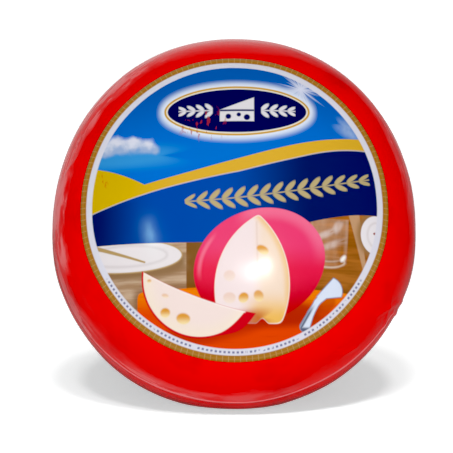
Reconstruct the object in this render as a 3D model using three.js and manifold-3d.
// A ball of semi-hard cheese in its tight red skin, standing on a small flat spot and leaning
// back a little, with a large round printed label on the front.
//
// Millimetres, +Z up. The label faces -Y. The origin is on the resting flat, straight below the
// centre of the ball.
import * as THREE from "three";
import { mergeVertices } from "three/addons/utils/BufferGeometryUtils.js";
import Module from "manifold-3d";

// The ball. Its own axis runs from the front pole, in the middle of the label, to the back pole.
const WIDTH = 158; // across, left to right
const HEIGHT = 162; // across, bottom to top, before the flat spot is taken off
const DEPTH = 112; // along the ball's own axis, pole to pole
const FULLNESS = 2.5; // of the profile: 2 is a plain ellipse, higher has fuller shoulders
const OUTLINE_FULLNESS = 2.1; // the same for the outline, as seen along the ball's axis
const SAG = 0.03; // the width grows by this share from mid-height down to the bottom
const LEAN_BACK = THREE.MathUtils.degToRad(15); // the front face looks up by this much
const FLAT_DEPTH = 3; // how far the resting flat is cut into the ball

// The label, a round disc laid over the front pole.
const LABEL_RADIUS = 64.5; // as seen along the ball's axis
const LABEL_THICKNESS = 0.4;
const LABEL_GAP = 0.3; // stands for the layer of glue between label and skin

// How finely the round surfaces are faceted.
const TURNS = 72; // facets around the ball's axis
const BALL_RINGS = 30; // facets from pole to pole
const LABEL_RINGS = 12; // facets from the middle of the label to its edge

const RADIUS = HEIGHT / 2;
const HALF_DEPTH = DEPTH / 2;
const OVALNESS = WIDTH / HEIGHT;

const wasm = await Module();
wasm.setup();

// A point on the ball's profile, as radius and distance along the axis, at an angle from the
// front pole. The profile is a superellipse in its polar form.
function profilePoint(angle) {
  const s = Math.sin(angle);
  const c = Math.cos(angle);
  const across = Math.abs(s / RADIUS) ** FULLNESS;
  const along = Math.abs(c / HALF_DEPTH) ** FULLNESS;
  const reach = (across + along) ** (-1 / FULLNESS);
  return new THREE.Vector2(reach * s, -reach * c);
}

// The radius of the ring round the axis that a place lies on. A ring is nearly a circle, but its
// diagonals are a little fuller.
function ringRadius(x, z) {
  return (Math.abs(x) ** OUTLINE_FULLNESS + Math.abs(z) ** OUTLINE_FULLNESS) ** (1 / OUTLINE_FULLNESS);
}

// How wide the ball is at a height, as a share of those rings. It is oval, and has sagged.
function widthShare(z) {
  return OVALNESS * (1 - (SAG * z) / RADIUS);
}

// How far forward the front face lies at a place seen along the axis.
function faceDepth(x, z) {
  const radius = ringRadius(x / widthShare(z), z);
  return -HALF_DEPTH * (1 - (radius / RADIUS) ** FULLNESS) ** (1 / FULLNESS);
}

// The unit normal of the front face there, pointing out of the ball.
function faceNormal(x, z) {
  const step = 0.01;
  const slopeX = (faceDepth(x + step, z) - faceDepth(x - step, z)) / (2 * step);
  const slopeZ = (faceDepth(x, z + step) - faceDepth(x, z - step)) / (2 * step);
  return new THREE.Vector3(slopeX, -1, slopeZ).normalize();
}

// Moves every point of a geometry to where a rule puts it.
function reshaped(geometry, rule) {
  const place = geometry.getAttribute("position");
  const point = new THREE.Vector3();
  for (let i = 0; i < place.count; i++) {
    const moved = rule(point.fromBufferAttribute(place, i));
    place.setXYZ(i, moved.x, moved.y, moved.z);
  }
  return geometry;
}

// A closed mesh as a solid, for cutting.
function solidOf(geometry) {
  const bare = new THREE.BufferGeometry();
  bare.setAttribute("position", geometry.getAttribute("position"));
  bare.setIndex(geometry.getIndex());
  const merged = mergeVertices(bare, 1e-3);
  return new wasm.Manifold(
    new wasm.Mesh({
      numProp: 3,
      vertProperties: merged.getAttribute("position").array,
      triVerts: new Uint32Array(merged.getIndex().array),
    }),
  );
}

// A solid as a mesh's geometry.
function geometryOf(solid) {
  const mesh = solid.getMesh();
  const geometry = new THREE.BufferGeometry();
  geometry.setAttribute("position", new THREE.BufferAttribute(mesh.vertProperties, 3));
  geometry.setIndex(new THREE.BufferAttribute(mesh.triVerts, 1));
  geometry.computeVertexNormals();
  return geometry;
}

// How far the leaning ball reaches below its centre.
function reachBelowCentre() {
  const power = FULLNESS / (FULLNESS - 1);
  const across = (RADIUS * Math.cos(LEAN_BACK)) ** power;
  const along = (HALF_DEPTH * Math.sin(LEAN_BACK)) ** power;
  return (across + along) ** (1 / power);
}

const CENTRE_HEIGHT = reachBelowCentre() - FLAT_DEPTH;

// The ball of cheese: the profile turned round its axis, its circles reshaped to the ball's rings,
// made oval, and cut flat where it rests.
function makeCheeseBall() {
  const outline = [new THREE.Vector2(0, -HALF_DEPTH)];
  for (let i = 1; i < BALL_RINGS; i++) outline.push(profilePoint((Math.PI * i) / BALL_RINGS));
  outline.push(new THREE.Vector2(0, HALF_DEPTH));
  const ball = reshaped(new THREE.LatheGeometry(outline, TURNS), ({ x, y, z }) => {
    const fuller = Math.hypot(x, z) / (ringRadius(x, z) || 1);
    return new THREE.Vector3(x * fuller * widthShare(z * fuller), y, z * fuller);
  });

  const surface = new THREE.BoxGeometry(2 * WIDTH, 2 * WIDTH, HEIGHT);
  surface.translate(0, 0, -HEIGHT / 2 - CENTRE_HEIGHT);
  surface.rotateX(LEAN_BACK);

  const skin = new THREE.MeshStandardMaterial({ color: 0xd80008, roughness: 0.22, metalness: 0 });
  const mesh = new THREE.Mesh(geometryOf(solidOf(ball).subtract(solidOf(surface))), skin);
  mesh.name = "cheese_ball";
  return mesh;
}

// The round label: a flat disc, whose every point is then laid on the front face. Its distance
// in front of the disc's own back becomes the distance outwards from the ball.
function makeRoundLabel() {
  const outline = [];
  for (let i = 0; i <= LABEL_RINGS; i++) {
    outline.push(new THREE.Vector2((LABEL_RADIUS * i) / LABEL_RINGS, -LABEL_THICKNESS));
  }
  for (let i = LABEL_RINGS; i >= 0; i--) {
    outline.push(new THREE.Vector2((LABEL_RADIUS * i) / LABEL_RINGS, 0));
  }
  const disc = reshaped(new THREE.LatheGeometry(outline, TURNS), ({ x, y, z }) =>
    new THREE.Vector3(x, faceDepth(x, z), z).addScaledVector(faceNormal(x, z), LABEL_GAP - y),
  );

  const paper = new THREE.MeshStandardMaterial({ color: 0x1f5fb8, roughness: 0.3, metalness: 0 });
  const mesh = new THREE.Mesh(disc, paper);
  mesh.name = "round_label";
  return mesh;
}

// Both lean back together about the centre of the ball.
const leaning = new THREE.Group();
leaning.position.z = CENTRE_HEIGHT;
leaning.rotation.x = -LEAN_BACK;
leaning.add(makeCheeseBall(), makeRoundLabel());

const cheese = new THREE.Group();
cheese.add(leaning);

export default cheese;
